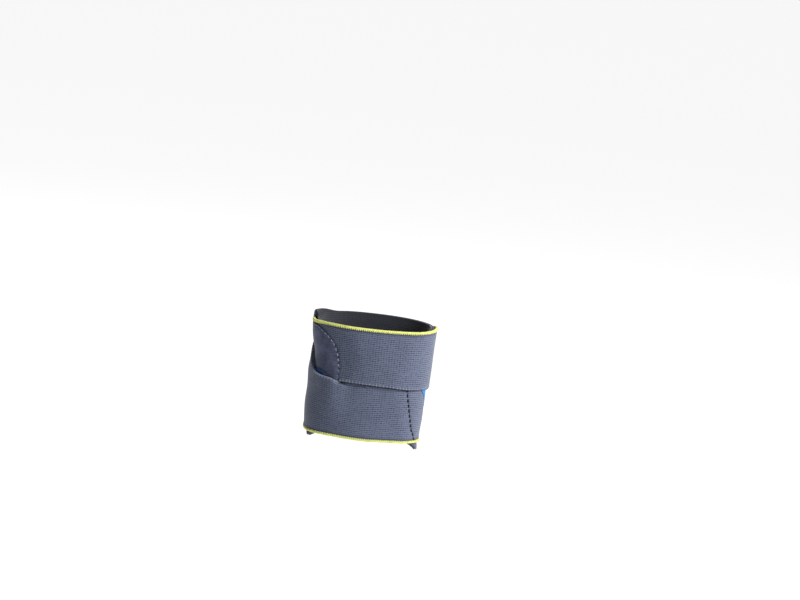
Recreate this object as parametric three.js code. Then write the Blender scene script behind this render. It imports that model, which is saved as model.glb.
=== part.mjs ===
// A wrist support of the wrap kind. A soft panel lies over the back of the wrist. Two elastic bands
// are sewn to its two ends, pass each other across the palm side and fasten on the back.
//
// Frame, in millimetres: +Z runs along the forearm towards the hand, +X to the thumb side and -Y out
// of the palm side. The origin is in the middle of the hollow that the wrist fills.
//
// Each piece is a wall that follows one oval form, the outer face of the panel. A place on a wall is
// given by "around", the distance along that oval from the middle of the palm side, positive towards
// the thumb, and by its height. Its two faces are given by how far they stand off the form.
import * as THREE from "three";

const { clamp, euclideanModulo, lerp, smoothstep } = THREE.MathUtils;

// The form: how far it reaches from the Z axis on its four sides, at each height. It flares towards
// the hand and turns out at the panel's lower edge.
const FORM = [
  { height: -38, thumb: 32.6, littleFinger: 33.0, palm: 21.2, back: 23.6 },
  { height: -32, thumb: 31.5, littleFinger: 33.0, palm: 21.2, back: 23.6 },
  { height: -20, thumb: 32.0, littleFinger: 33.2, palm: 21.2, back: 23.6 },
  { height: -8, thumb: 32.1, littleFinger: 32.6, palm: 21.2, back: 23.6 },
  { height: 2, thumb: 32.0, littleFinger: 33.0, palm: 21.2, back: 23.6 },
  { height: 8, thumb: 32.3, littleFinger: 32.7, palm: 21.2, back: 23.6 },
  { height: 14, thumb: 32.8, littleFinger: 33.2, palm: 21.2, back: 23.6 },
  { height: 20, thumb: 33.3, littleFinger: 34.4, palm: 21.2, back: 23.6 },
  { height: 36, thumb: 34.7, littleFinger: 35.6, palm: 21.2, back: 23.6 },
];

// Each wall's lower and upper edge, from place to place around the form. Negative places on the panel
// are counted on round the back. On the little-finger side the lining stands up behind the panel.
const PANEL = [
  { around: 21, bottom: -3.0, top: 9.0, lining: 9.0 },
  { around: 23.5, bottom: -12.0, top: 18.0, lining: 18.0 },
  { around: 26, bottom: -19.5, top: 24.0, lining: 24.0 },
  { around: 29.5, bottom: -28.0, top: 28.5, lining: 28.5 },
  { around: 33, bottom: -33.8, top: 31.0, lining: 31.0 },
  { around: 37, bottom: -36.9, top: 32.6, lining: 32.6 },
  { around: 42, bottom: -39.3, top: 33.6, lining: 33.6 },
  { around: 47, bottom: -39.8, top: 34.2, lining: 34.2 },
  { around: 58, bottom: -38.9, top: 34.5, lining: 34.5 },
  { around: 87, bottom: -38.0, top: 34.6, lining: 34.7 },
  { around: -66, bottom: -38.1, top: 34.4, lining: 34.7 },
  { around: -57, bottom: -38.4, top: 33.4, lining: 34.5 },
  { around: -49, bottom: -39.0, top: 30.9, lining: 34.1 },
  { around: -46.5, bottom: -38.6, top: 30.2, lining: 33.9 },
  { around: -44.5, bottom: -36.8, top: 29.8, lining: 33.6 },
  { around: -42, bottom: -33.4, top: 29.6, lining: 33.0 },
  { around: -38, bottom: -30.6, top: 29.5, lining: 31.8 },
  { around: -33.5, bottom: -27.5, top: 29.2, lining: 29.8 },
  { around: -30, bottom: -24.0, top: 27.9, lining: 27.9 },
  { around: -26, bottom: -19.5, top: 25.6, lining: 25.6 },
  { around: -22.8, bottom: -14.0, top: 23.3, lining: 23.3 },
  { around: -20.5, bottom: -9.5, top: 20.2, lining: 20.2 },
  { around: -18.7, bottom: -5.0, top: 15.6, lining: 15.6 },
  { around: -17.4, bottom: -0.5, top: 8.0, lining: 8.0 },
];
// The upper band's tucked-in end is cut at a slant. The bands are narrower where they are stretched.
// On the back their tails slant towards each other.
const UPPER_BAND = [
  { around: -45, bottom: 28.8, top: 32.4 },
  { around: -40, bottom: 26.5, top: 32.5 },
  { around: -34, bottom: 22.5, top: 32.8 },
  { around: -29, bottom: 16.5, top: 33.0 },
  { around: -25.5, bottom: 7.0, top: 33.1 },
  { around: -23, bottom: 0.2, top: 33.2 },
  { around: -14, bottom: 0.2, top: 33.3 },
  { around: 0, bottom: 0.4, top: 33.4 },
  { around: 12.5, bottom: 0.0, top: 33.4 },
  { around: 24.5, bottom: -1.0, top: 33.5 },
  { around: 36, bottom: -1.0, top: 34.0 },
  { around: 43.5, bottom: -1.6, top: 34.8 },
  { around: 47, bottom: -3.6, top: 34.7 },
  { around: 51, bottom: -6.2, top: 33.8 },
  { around: 58, bottom: -9.6, top: 30.0 },
  { around: 64, bottom: -11.6, top: 26.2 },
  { around: 72, bottom: -12.8, top: 23.2 },
  { around: 80, bottom: -13.2, top: 22.2 },
];
const LOWER_BAND = [
  { around: -80, bottom: -11.5, top: 28.0 },
  { around: -72, bottom: -13.5, top: 27.4 },
  { around: -64, bottom: -18.2, top: 25.8 },
  { around: -58, bottom: -23.6, top: 23.4 },
  { around: -51, bottom: -29.8, top: 18.8 },
  { around: -45, bottom: -32.9, top: 13.4 },
  { around: -39, bottom: -33.9, top: 7.8 },
  { around: -36, bottom: -34.0, top: 4.8 },
  { around: -33, bottom: -33.9, top: 3.0 },
  { around: -28, bottom: -33.8, top: 2.0 },
  { around: -23, bottom: -33.7, top: 1.6 },
  { around: -19, bottom: -33.6, top: 0.9 },
  { around: -16, bottom: -33.6, top: -0.1 },
  { around: -2, bottom: -33.7, top: -0.2 },
  { around: 4, bottom: -33.7, top: 1.2 },
  { around: 12, bottom: -33.6, top: 1.6 },
  { around: 30, bottom: -33.9, top: 1.0 },
  { around: 46, bottom: -34.5, top: 0.6 },
];

// Thicknesses, and the clearance that neighbouring pieces keep.
const LINING_THICK = 0.8;
const PANEL_THICK = 2.0;
const PANEL_EDGE = 1; // the panel thins towards its lower and upper edge
const PAD_REACH = 6;
const PANEL_THIN = 0.8; // where the panel is sewn down on the upper band's tucked-in end
const LOOP_THICK = 0.5;
const HOOK_THICK = 0.5;
const BAND_THICK = 1.6;
const EDGE_RADIUS = 1.1; // the thick coloured edge woven along one side of each band
const GAP = 0.35;

const SEAM_RISE = { low: 1.2, high: 0.7, from: 2, to: 14 }; // how far the panel stands up over the tucked-in end
const PALM_REST = -1; // a band's inner face between the panel's ends
const LINING_PROUD = 0.1; // the lining shows this far past the panel's thumb end and lower edge
const LINING_STOP = -19; // where the lining ends on the little-finger side
const LOOP = { thumbEnd: 31, littleFingerEnd: -23.5, bottom: -13, top: 4.4, radius: 6 };
const LOOP_LIFT = { amount: 1, from: 46, to: 56 }; // the strip's thumb end stands up off the panel
const HOOK = { inner: 56, outer: 73, bottom: -9, top: 3 };
const TAIL_REACH = 78; // where the bands' tails end, either side of the back
const TAIL_RADIUS = 10;
const SEWN_END = 41.5; // the lower band's sewn end, on the thumb side
const SEWN_RADIUS = 16.5;

// Between these places the lower band goes from over the panel's rounded end to under the upper band.
const CROSSING = { from: -18.5, root: -16.5, lowerTo: -8, upperTo: 6 };
const TUCK = { from: 1.5, low: 7.5, high: 14, rise: 12 }; // the upper band sinks this near to the panel's rounded end
// The upper coloured edge comes out over the panel's upper edge, past this stretch.
const EDGE_OUT = { from: -28, to: -38, off: -0.1 };

// How a wall comes down beside another that it lies over, and how closely the surfaces are drawn.
const EASE_START = 2.2;
const EASE_LENGTH = 12;
const ACROSS_STEPS = 8;
const OUTLINE_STEP = 1.5;
const GRADING = 0.6; // how much closer a wall's columns stand at its ends
const GRID = {
  lining: { columns: 40, rows: 12 },
  panel: { columns: 50, rows: 13 },
  loopStrip: { columns: 44, rows: 3 },
  hookPatch: { columns: 8, rows: 3 },
  band: { columns: 56, rows: 8 },
};
const GIRTH_DIVISIONS = 720;
const EDGE_SIDES = 8;
const EDGE_STEP = 2.4;

// A smooth curve through one column of a table, against another of its columns.
function column(table, key, value) {
  const places = table.map((row) => row[key]);
  const curve = new THREE.CubicInterpolant(places, table.map((row) => row[value]), 1);
  return (at) => curve.evaluate(clamp(at, places[0], places.at(-1)))[0];
}

const reach = {
  thumb: column(FORM, "height", "thumb"),
  littleFinger: column(FORM, "height", "littleFinger"),
  palm: column(FORM, "height", "palm"),
  back: column(FORM, "height", "back"),
};

// The form's oval at one height, as its centre and half axes.
function oval(height) {
  const [thumb, littleFinger] = [reach.thumb(height), reach.littleFinger(height)];
  const [palm, back] = [reach.palm(height), reach.back(height)];
  return {
    x: (thumb - littleFinger) / 2,
    y: (back - palm) / 2,
    halfWidth: (thumb + littleFinger) / 2,
    halfDepth: (back + palm) / 2,
  };
}

const PALM_ANGLE = -Math.PI / 2;
const FULL_TURN = 2 * Math.PI;
const middle = oval(0);
const girthCurve = new THREE.EllipseCurve(
  0, 0, middle.halfWidth, middle.halfDepth, PALM_ANGLE, PALM_ANGLE + FULL_TURN,
);
girthCurve.arcLengthDivisions = GIRTH_DIVISIONS;
const GIRTH = girthCurve.getLength();

// A point standing off the form.
function offForm(around, height, off) {
  const turn = girthCurve.getUtoTmapping(euclideanModulo(around / GIRTH, 1));
  const angle = PALM_ANGLE + FULL_TURN * turn;
  const { x, y, halfWidth, halfDepth } = oval(height);
  const [c, s] = [Math.cos(angle), Math.sin(angle)];
  const normal = new THREE.Vector2(halfDepth * c, halfWidth * s).normalize();
  return new THREE.Vector3(x + halfWidth * c + off * normal.x, y + halfDepth * s + off * normal.y, height);
}

// A wall: its ends, its lower and upper edge, and its two faces.
class Wall {
  constructor(start, end, bottom, top) {
    Object.assign(this, { start, end, bottom, top });
    const steps = Math.ceil((end - start) / OUTLINE_STEP);
    const places = Array.from({ length: steps + 1 }, (_, i) => lerp(start, end, i / steps));
    const lower = places.map((around) => new THREE.Vector2(around, bottom(around)));
    const upper = places.map((around) => new THREE.Vector2(around, top(around)));
    this.outline = [...lower, ...upper.reverse()];
  }

  // The faces of a wall, as functions of the place that give how far they stand off the form.
  faces(inner, outer) {
    return Object.assign(this, { inner, outer });
  }

  // How far a place lies outside the outline: zero on the wall.
  outside(around, height) {
    const centre = (this.start + this.end) / 2;
    const here = new THREE.Vector2(around + GIRTH * Math.round((centre - around) / GIRTH), height);
    const within = here.x > this.start && here.x < this.end;
    if (within && height > this.bottom(here.x) && height < this.top(here.x)) return 0;
    let nearest = Infinity;
    this.outline.forEach((from, i) => {
      const along = this.outline[(i + 1) % this.outline.length].clone().sub(from);
      const offset = here.clone().sub(from);
      const share = clamp(offset.dot(along) / along.lengthSq(), 0, 1);
      nearest = Math.min(nearest, offset.addScaledVector(along, -share).length());
    });
    return nearest;
  }

  // One on the wall, easing to nothing beside it.
  nearness(around, height) {
    return 1 - smoothstep(this.outside(around, height), EASE_START, EASE_START + EASE_LENGTH);
  }

  // The closed solid: an outer and an inner sheet, joined round their rim. Its columns stand closer
  // together towards the ends.
  geometry({ columns, rows }) {
    const points = [];
    for (const face of [this.outer, this.inner])
      for (let j = 0; j <= rows; j++)
        for (let i = 0; i <= columns; i++) {
          const u = i / columns;
          const around = lerp(this.start, this.end, u - (GRADING * Math.sin(FULL_TURN * u)) / FULL_TURN);
          const height = lerp(this.bottom(around), this.top(around), j / rows);
          points.push(offForm(around, height, face(around, height)));
        }
    const wide = columns + 1;
    const sheet = wide * (rows + 1);
    const triangles = [];
    const quad = (a, b, c, d) => triangles.push(a, b, c, a, c, d);
    for (let j = 0; j < rows; j++) {
      const left = j * wide;
      const right = left + columns;
      for (let i = left; i < right; i++) {
        quad(i, i + 1, i + wide + 1, i + wide);
        quad(sheet + i, sheet + i + wide, sheet + i + wide + 1, sheet + i + 1);
      }
      quad(left, left + wide, sheet + left + wide, sheet + left);
      quad(right + wide, right, sheet + right, sheet + right + wide);
    }
    const last = sheet - wide;
    for (let i = 0; i < columns; i++) {
      quad(i + 1, i, sheet + i, sheet + i + 1);
      quad(last + i, last + i + 1, sheet + last + i + 1, sheet + last + i);
    }
    return new THREE.BufferGeometry().setFromPoints(points).setIndex(triangles);
  }
}

const flat = (value) => () => value;

// How far a rounded corner draws an edge in, at a distance from the end.
function corner(distance, radius) {
  const inside = radius - clamp(distance, 0, radius);
  return radius - Math.sqrt(radius * radius - inside * inside);
}

const panelRows = PANEL.map((row) => ({ ...row, around: euclideanModulo(row.around, GIRTH) }));
const panelBottom = column(panelRows, "around", "bottom");
const panelTop = column(panelRows, "around", "top");
const liningTop = column(panelRows, "around", "lining");
const panelStart = panelRows[0].around;
const panelEnd = panelRows.at(-1).around;
const rootStart = UPPER_BAND[0].around;
const upperBottom = column(UPPER_BAND, "around", "bottom");
const upperTop = column(UPPER_BAND, "around", "top");
const lowerBottom = column(LOWER_BAND, "around", "bottom");
const lowerTop = column(LOWER_BAND, "around", "top");
const EDGE_SPACE = 2 * EDGE_RADIUS + GAP;
const EDGE_LIFT = EDGE_RADIUS - 0.1; // the cord's middle above the band's inner face

// The panel's outer face is the form itself. Where the upper band's root is tucked in behind it, it is
// thinner and stands a little proud.
const root = new Wall(rootStart, CROSSING.root, upperBottom, upperTop);
const seamRise = (height) => lerp(SEAM_RISE.low, SEAM_RISE.high, smoothstep(height, SEAM_RISE.from, SEAM_RISE.to));
const rise = (around, height) => seamRise(height) * root.nearness(around, height);
const pad = (around, height) => {
  const fromEdge = Math.min(height - panelBottom(around), panelTop(around) - height);
  return lerp(PANEL_EDGE, PANEL_THICK, smoothstep(fromEdge, 0, PAD_REACH));
};
const panel = new Wall(panelStart, panelEnd, panelBottom, panelTop).faces(
  (around, height) => lerp(-pad(around, height), seamRise(height) - PANEL_THIN, root.nearness(around, height)),
  rise,
);
// The strip starts beside the lower band's rounded sewn end, and its other end is rounded.
const LOOP_FACE = GAP + LOOP_THICK;
const sewnTop = (around) => lowerTop(around) - corner(SEWN_END - around, SEWN_RADIUS);
const loopEnd = (around) => corner(GIRTH + LOOP.littleFingerEnd - around, LOOP.radius);
const loopRest = (around, height) =>
  rise(around, height) + GAP + (around < 0 ? 0 : LOOP_LIFT.amount * (1 - smoothstep(around, LOOP_LIFT.from, LOOP_LIFT.to)));
const loopStrip = new Wall(
  LOOP.thumbEnd,
  GIRTH + LOOP.littleFingerEnd,
  (around) => Math.max(LOOP.bottom, around < SEWN_END ? sewnTop(around) + GAP : LOOP.bottom) + loopEnd(around),
  (around) => LOOP.top - loopEnd(around),
).faces(
  (around, height) => loopRest(around, height),
  (around, height) => loopRest(around, height) + LOOP_THICK,
);

// The root lies behind the panel, and the lining behind both.
const rootRest = (height) => seamRise(height) - PANEL_THIN - GAP - BAND_THICK;
const liningOuter = (around, height) => {
  const padded = -pad(around, height);
  return Math.min(padded, lerp(padded, rootRest(height), root.nearness(around, height))) - GAP;
};
const lining = new Wall(
  panelStart - LINING_PROUD,
  GIRTH + LINING_STOP,
  (around) => panelBottom(around + LINING_PROUD) - LINING_PROUD,
  liningTop,
).faces((around, height) => liningOuter(around, height) - LINING_THICK, liningOuter);

// A hook patch under each tail, one on either side of the back.
function hookPatch(start, end) {
  const rest = LOOP_FACE + GAP;
  return new Wall(start, end, flat(HOOK.bottom), flat(HOOK.top)).faces(flat(rest), flat(rest + HOOK_THICK));
}
const lowerHook = hookPatch(-HOOK.outer, -HOOK.inner);
const upperHook = hookPatch(HOOK.inner, HOOK.outer);

// A band is taut: at each place around, its inner face is straight across from each point that it
// bears on to the next. What it bears on is a list of walls, each with the share that counts there.
function tautFaces(band, bearings) {
  const bears = (around, height) =>
    bearings.reduce((rest, { wall, share = flat(1) }) => {
      const counts = wall.nearness(around, height) * share(around);
      return counts > 0 ? Math.max(rest, lerp(PALM_REST, wall.outer(around, height) + GAP, counts)) : rest;
    }, PALM_REST);
  const kept = new Map();
  const profile = (around) => {
    if (!kept.has(around)) {
      const [low, high] = [band.bottom(around), band.top(around)];
      const heights = Array.from({ length: ACROSS_STEPS + 1 }, (_, i) => lerp(low, high, i / ACROSS_STEPS));
      kept.set(around, heights.map((height) => ({ height, rest: bears(around, height) })));
    }
    return kept.get(around);
  };
  const inner = (around, height) => {
    const points = profile(around);
    const at = clamp(height, points[0].height, points.at(-1).height);
    const below = points.filter((point) => point.height <= at);
    const above = points.filter((point) => point.height >= at);
    let rest = -Infinity;
    for (const a of below)
      for (const b of above) {
        const share = b === a ? 0 : (at - a.height) / (b.height - a.height);
        rest = Math.max(rest, lerp(a.rest, b.rest, share));
      }
    return rest;
  };
  return band.faces(inner, (around, height) => inner(around, height) + BAND_THICK);
}

const fromTail = (around) => around + TAIL_REACH;
const beforeCrossing = (around) => (around < 0 ? 1 - smoothstep(around, CROSSING.from, CROSSING.lowerTo) : 1);
const littleFingerSide = (around) => (around < 0 ? 1 : 0);
const lowerBand = tautFaces(
  new Wall(
    -TAIL_REACH,
    SEWN_END,
    (around) => lowerBottom(around) + EDGE_SPACE + corner(fromTail(around), TAIL_RADIUS),
    (around) => sewnTop(around) - corner(fromTail(around), TAIL_RADIUS),
  ),
  [
    { wall: panel, share: beforeCrossing },
    { wall: loopStrip, share: littleFingerSide },
    { wall: lowerHook },
  ],
);

const tuckEnd = (height) => lerp(TUCK.low, TUCK.high, smoothstep(height, 0, TUCK.rise));
const pastCrossing = (around) => smoothstep(around, CROSSING.root, CROSSING.upperTo);
const overPalm = (around) => smoothstep(around, CROSSING.lowerTo, -CROSSING.lowerTo);
const upperBand = tautFaces(
  new Wall(
    rootStart,
    TAIL_REACH,
    (around) => upperBottom(around) + corner(fromTail(-around), TAIL_RADIUS),
    (around) => upperTop(around) - EDGE_SPACE - corner(fromTail(-around), TAIL_RADIUS),
  ),
  [
    { wall: lowerBand, share: pastCrossing },
    { wall: panel, share: overPalm },
    { wall: loopStrip, share: overPalm },
    { wall: upperHook, share: overPalm },
  ],
);
// Towards its tucked-in end the upper band sinks behind the panel.
const aboveRoot = upperBand.inner;
const sinking = (around, height) => {
  const beside = around < 0 ? smoothstep(panel.outside(around, height), TUCK.from, tuckEnd(height)) : 1;
  return lerp(rootRest(height), aboveRoot(around, height), beside);
};
upperBand.faces(sinking, (around, height) => sinking(around, height) + BAND_THICK);

// The thick edge: a round cord along one edge of a band.
function edgeCord(edgeHeight, edgeOff, from, to) {
  const steps = Math.round((to - from) / EDGE_STEP);
  const route = Array.from({ length: steps + 1 }, (_, i) => {
    const around = lerp(from, to, i / steps);
    const height = edgeHeight(around);
    return offForm(around, height, edgeOff(around, height));
  });
  const section = new THREE.Shape().absarc(0, 0, EDGE_RADIUS, 0, FULL_TURN);
  return new THREE.ExtrudeGeometry(section, {
    steps,
    curveSegments: EDGE_SIDES / 2,
    bevelEnabled: false,
    extrudePath: new THREE.CatmullRomCurve3(route),
  });
}
const TAIL_STRAIGHT = TAIL_REACH - TAIL_RADIUS;
const upperEdge = edgeCord(
  (around) => upperTop(around) - EDGE_RADIUS,
  (around, height) => {
    const out = smoothstep(-around, -EDGE_OUT.from, -EDGE_OUT.to);
    return lerp(upperBand.inner(around, height) + EDGE_LIFT, EDGE_OUT.off, out);
  },
  rootStart,
  TAIL_STRAIGHT,
);
const lowerEdge = edgeCord(
  (around) => lowerBottom(around) + EDGE_RADIUS,
  (around, height) => lowerBand.inner(around, height) + EDGE_LIFT,
  -TAIL_STRAIGHT,
  SEWN_END,
);

const BAND_GREY = { color: 0x626a7e, roughness: 0.9, metalness: 0 };
const PANEL_GREY = { color: 0x4a4d5c, roughness: 0.95, metalness: 0 };
const LINING_BLACK = { color: 0x24252c, roughness: 0.95, metalness: 0 };
const LOOP_BLUE = { color: 0x3f86bd, roughness: 0.95, metalness: 0 };
const EDGE_YELLOW = { color: 0xdde64a, roughness: 0.8, metalness: 0 };

const support = new THREE.Group();
function add(name, geometry, look) {
  const mesh = new THREE.Mesh(geometry, new THREE.MeshStandardMaterial(look));
  mesh.name = name;
  support.add(mesh);
}
add("panel_lining", lining.geometry(GRID.lining), LINING_BLACK);
add("back_panel", panel.geometry(GRID.panel), PANEL_GREY);
add("loop_strip", loopStrip.geometry(GRID.loopStrip), LOOP_BLUE);
add("lower_hook_patch", lowerHook.geometry(GRID.hookPatch), LINING_BLACK);
add("upper_hook_patch", upperHook.geometry(GRID.hookPatch), LINING_BLACK);
add("lower_band", lowerBand.geometry(GRID.band), BAND_GREY);
add("upper_band", upperBand.geometry(GRID.band), BAND_GREY);
add("lower_edge", lowerEdge, EDGE_YELLOW);
add("upper_edge", upperEdge, EDGE_YELLOW);

export default support;
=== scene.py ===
# %% [markdown]
# # A wrist support of woven elastic
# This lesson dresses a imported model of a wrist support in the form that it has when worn. A soft panel
# makes the back and comes round both sides. Two elastic bands cross on the front and fasten on the back.
# Left and right are as seen from the front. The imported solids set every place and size. The looks are
# made here: woven webbing, brushed cloth, loop pile, thread and cord.

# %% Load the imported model
import math

import bpy
import numpy as np
from mathutils import Matrix, Vector


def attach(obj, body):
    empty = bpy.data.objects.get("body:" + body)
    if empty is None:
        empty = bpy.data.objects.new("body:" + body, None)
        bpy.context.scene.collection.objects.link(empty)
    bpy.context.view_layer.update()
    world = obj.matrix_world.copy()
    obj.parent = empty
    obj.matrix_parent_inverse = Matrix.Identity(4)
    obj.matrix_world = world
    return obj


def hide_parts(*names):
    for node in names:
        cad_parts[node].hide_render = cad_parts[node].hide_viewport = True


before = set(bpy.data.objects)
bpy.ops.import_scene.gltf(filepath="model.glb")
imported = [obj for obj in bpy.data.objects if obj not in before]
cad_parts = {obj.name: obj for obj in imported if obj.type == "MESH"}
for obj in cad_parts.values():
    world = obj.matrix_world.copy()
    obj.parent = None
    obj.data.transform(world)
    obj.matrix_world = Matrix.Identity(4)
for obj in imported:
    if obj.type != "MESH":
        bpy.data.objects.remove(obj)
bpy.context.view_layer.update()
MM = 0.001  # the sizes below are millimetres, and Blender's are metres
print("solids:", ", ".join(sorted(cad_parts)))

# %% [markdown]
# ## One form for every layer
# A wrap of cloth is a stack of thin walls. The easiest way to keep such walls from cutting each other is
# to give them one common form and say how far each face stands off it. A place on the form has two
# numbers: how far it is around from the middle of the front, and its height. Short tables with named
# columns give the form and the outlines.

# %% The form and the outlines
FORM = {
    "height": (-38, -32, -20, -8, 2, 8, 14, 20, 36),
    "right": (32.6, 31.5, 32.0, 32.1, 32.0, 32.3, 32.8, 33.3, 34.7),
    "left": (33.0, 33.0, 33.2, 32.6, 33.0, 32.7, 33.2, 34.4, 35.6),
}
FRONT_REACH, BACK_REACH = 21.2, 23.6
PANEL = {
    "around": (21, 23.5, 26, 29.5, 33, 37, 42, 47, 58, 87, -66, -57,
               -49, -46.5, -44.5, -42, -38, -33.5, -30, -26, -22.8, -20.5, -18.7, -17.4),
    "bottom": (-3, -12, -19.5, -28, -33.8, -36.9, -39.3, -39.8, -38.9, -38, -38.1, -38.4,
               -39, -38.6, -36.8, -33.4, -30.6, -27.5, -24, -19.5, -14, -9.5, -5, -0.5),
    "top": (9, 18, 24, 28.5, 31, 32.6, 33.6, 34.2, 34.5, 34.6, 34.4, 33.4,
            30.9, 30.2, 29.8, 29.6, 29.5, 29.2, 27.9, 25.6, 23.3, 20.2, 15.6, 8),
    "lining": (9, 18, 24, 28.5, 31, 32.6, 33.6, 34.2, 34.5, 34.7, 34.7, 34.5,
               34.1, 33.9, 33.6, 33, 31.8, 29.8, 27.9, 25.6, 23.3, 20.2, 15.6, 8),
}
UPPER_BAND = {
    "around": (-45, -40, -34, -29, -25.5, -23, -14, 0, 12.5, 24.5, 36, 43.5, 47, 51, 58, 64, 72, 80),
    "bottom": (28.8, 26.5, 22.5, 16.5, 7, 0.2, 0.2, 0.4, 0,
               -1, -1, -1.6, -3.6, -6.2, -9.6, -11.6, -12.8, -13.2),
    "top": (32.4, 32.5, 32.8, 33, 33.1, 33.2, 33.3, 33.4, 33.4,
            33.5, 34, 34.8, 34.7, 33.8, 30, 26.2, 23.2, 22.2),
}
LOWER_BAND = {
    "around": (-80, -72, -64, -58, -51, -45, -39, -36, -33,
               -28, -23, -19, -16, -2, 4, 12, 30, 46),
    "bottom": (-11.5, -13.5, -18.2, -23.6, -29.8, -32.9, -33.9, -34, -33.9,
               -33.8, -33.7, -33.6, -33.6, -33.7, -33.7, -33.6, -33.9, -34.5),
    "top": (28, 27.4, 25.8, 23.4, 18.8, 13.4, 7.8, 4.8, 3,
            2, 1.6, 0.9, -0.1, -0.2, 1.2, 1.6, 1, 0.6),
}
print(f"outline points: {len(PANEL['around'])}, {len(UPPER_BAND['around'])}, {len(LOWER_BAND['around'])}")

# %% [markdown]
# ## From the tables to points
# A smooth curve runs through each column. A place becomes a point by going around an ellipse whose width
# changes with the height, and then standing off it squarely.

# %% Curves and points
RING_POINTS = 2881


def lerp(a, b, share):
    return a + (b - a) * share


def smoothstep(value, low, high):
    share = np.clip((value - low) / (high - low), 0, 1)
    return share * share * (3 - 2 * share)


def column(table, key, value):
    """A smooth curve through one column of a table, against another of its columns."""
    places, values = np.array(table[key], float), np.array(table[value], float)
    secants = np.diff(values) / np.diff(places)
    slopes = np.concatenate([[0], (secants[1:] + secants[:-1]) / 2, [0]])

    def curve(at):
        at = np.clip(at, places[0], places[-1])
        i = np.clip(np.searchsorted(places, at, side="right") - 1, 0, len(places) - 2)
        step = places[i + 1] - places[i]
        p = (at - places[i]) / step
        q = 1 - p
        start = values[i] * (1 + 2 * p) * q * q + slopes[i] * step * p * q * q
        return start + values[i + 1] * (3 - 2 * p) * p * p - slopes[i + 1] * step * p * p * q

    return curve


right_reach = column(FORM, "height", "right")
left_reach = column(FORM, "height", "left")
CENTRE_Y, HALF_DEPTH = (BACK_REACH - FRONT_REACH) / 2, (BACK_REACH + FRONT_REACH) / 2


def half_width(height):
    return (right_reach(height) + left_reach(height)) / 2


turns = np.linspace(-np.pi / 2, 3 * np.pi / 2, RING_POINTS)
ring = np.stack([half_width(0) * np.cos(turns), HALF_DEPTH * np.sin(turns)], -1)
ring_lengths = np.concatenate([[0], np.cumsum(np.linalg.norm(np.diff(ring, axis=0), axis=1))])
GIRTH = ring_lengths[-1]


def off_form(around, height, off):
    """Points standing off the form, in metres."""
    around, height, off = np.broadcast_arrays(around, height, off)
    angle = np.interp(np.mod(around, GIRTH), ring_lengths, turns)
    wide = half_width(height)
    across, deep = np.cos(angle), np.sin(angle)
    out_x, out_y = HALF_DEPTH * across, wide * deep
    length = np.hypot(out_x, out_y)
    x = (right_reach(height) - left_reach(height)) / 2 + wide * across + off * out_x / length
    y = CENTRE_Y + HALF_DEPTH * deep + off * out_y / length
    return np.stack([x, y, height], -1) * MM


print(f"the form's girth is {GIRTH:.1f} mm")

# %% [markdown]
# ## Walls
# A wall is a piece of cloth on the form: its two ends, its lower and upper edge, and its two faces.
# Two measures of a place are used again and again. Its depth is how far inside the outline it lies,
# which rounds the rims and sets seams in from an edge. Its nearness fades out beside the wall, which
# lets one cloth come down gently next to another that it lies over.

# %% The walls' class
OUTLINE_STEP = 0.5
EASE_START, EASE_LENGTH = 2.2, 12


def distance_to(line, around, height):
    """How far places lie from an open line of points, each point a pair of around and height."""
    nearest = np.full(np.shape(around), np.inf)
    for (x, z), (dx, dz) in zip(line[:-1], np.diff(line, axis=0)):
        off_x, off_z = around - x, height - z
        share = np.clip((off_x * dx + off_z * dz) / (dx * dx + dz * dz + 1e-12), 0, 1)
        nearest = np.minimum(nearest, np.hypot(off_x - share * dx, off_z - share * dz))
    return nearest


class Wall:
    def __init__(self, start, end, bottom, top):
        self.start, self.end, self.bottom, self.top = start, end, bottom, top
        places = np.linspace(start, end, 2 + int((end - start) / OUTLINE_STEP))
        lower = np.stack([places, bottom(places)], -1)
        upper = np.stack([places, top(places)], -1)
        self.outline = np.concatenate([lower, upper[::-1], lower[:1]])

    def faces(self, inner, outer):
        """The two faces, as functions of the place that give how far they stand off the form."""
        self.inner, self.outer = inner, outer
        return self

    def depth(self, around, height):
        """How far inside the outline places lie, and less than nothing outside it."""
        around, height = np.broadcast_arrays(around, height)
        around = around + GIRTH * np.round(((self.start + self.end) / 2 - around) / GIRTH)
        within = (around > self.start) & (around < self.end)
        within &= (height > self.bottom(around)) & (height < self.top(around))
        return np.where(within, 1, -1) * distance_to(self.outline, around, height)

    def outside(self, around, height):
        return np.maximum(0, -self.depth(around, height))

    def nearness(self, around, height):
        return 1 - smoothstep(self.outside(around, height), EASE_START, EASE_START + EASE_LENGTH)


def flat(value):
    return lambda *place: np.full(np.shape(place[0]), float(value))


def corner(distance, radius):
    """How far a rounded corner draws an edge in, at a distance from the end."""
    inside = radius - np.clip(distance, 0, radius)
    return radius - np.sqrt(radius * radius - inside * inside)


print("walls are ready: an outline, two faces, a depth and a nearness")

# %% [markdown]
# ## The panel
# The panel is the form itself. The upper band's root is tucked in behind its rounded left end, so there
# it stands up a little and is thinner. Elsewhere it is padded, and it thins towards its lower and upper
# edge. Each face is a small function of the place, built from the same thicknesses and the same clearance
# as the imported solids.

# %% The panel's wall
GAP, ROOT_END = 0.35, -16.5
PANEL_THICK, PANEL_EDGE, PANEL_THIN, PAD_REACH = 2.0, 1.0, 0.8, 6
SEAM_RISE_LOW, SEAM_RISE_HIGH, SEAM_RISE_HEIGHTS = 1.2, 0.7, (2, 14)

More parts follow.
